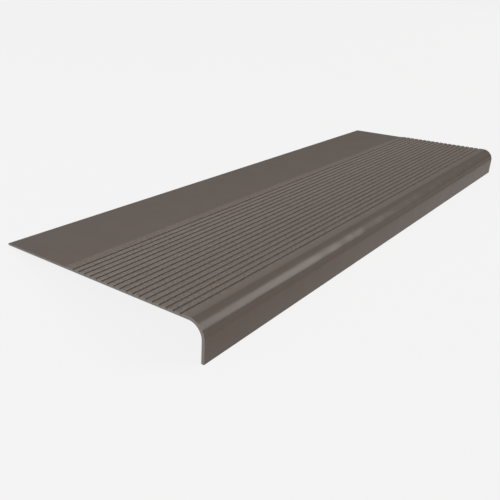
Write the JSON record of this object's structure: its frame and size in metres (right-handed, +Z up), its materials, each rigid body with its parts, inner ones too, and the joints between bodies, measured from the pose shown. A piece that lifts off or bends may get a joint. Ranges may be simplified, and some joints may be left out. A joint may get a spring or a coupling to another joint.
{
  "type": "rubber stair tread",
  "caption": "One-piece moulded rubber cover for a stair step, with a ribbed walking field, a smooth thin back strip and a rounded nose that hooks over the step's front edge.",
  "frame": {"origin": "centre of the bounding box's footprint, on the level floor that the loose tread rests on", "axes": "+X along the step, +Y from the nose to the back edge, +Z up; the tread is tipped back 7.99 degrees about X, so its toe and its back edge both touch the floor"},
  "size_m": [0.9144, 0.3134, 0.0443],
  "materials": {
    "rubber": "matte brown-grey moulded rubber with a faint satin sheen on the nose"
  },
  "bodies": {
    "root": {"tread": "rubber"}
  },
  "joints": []
}
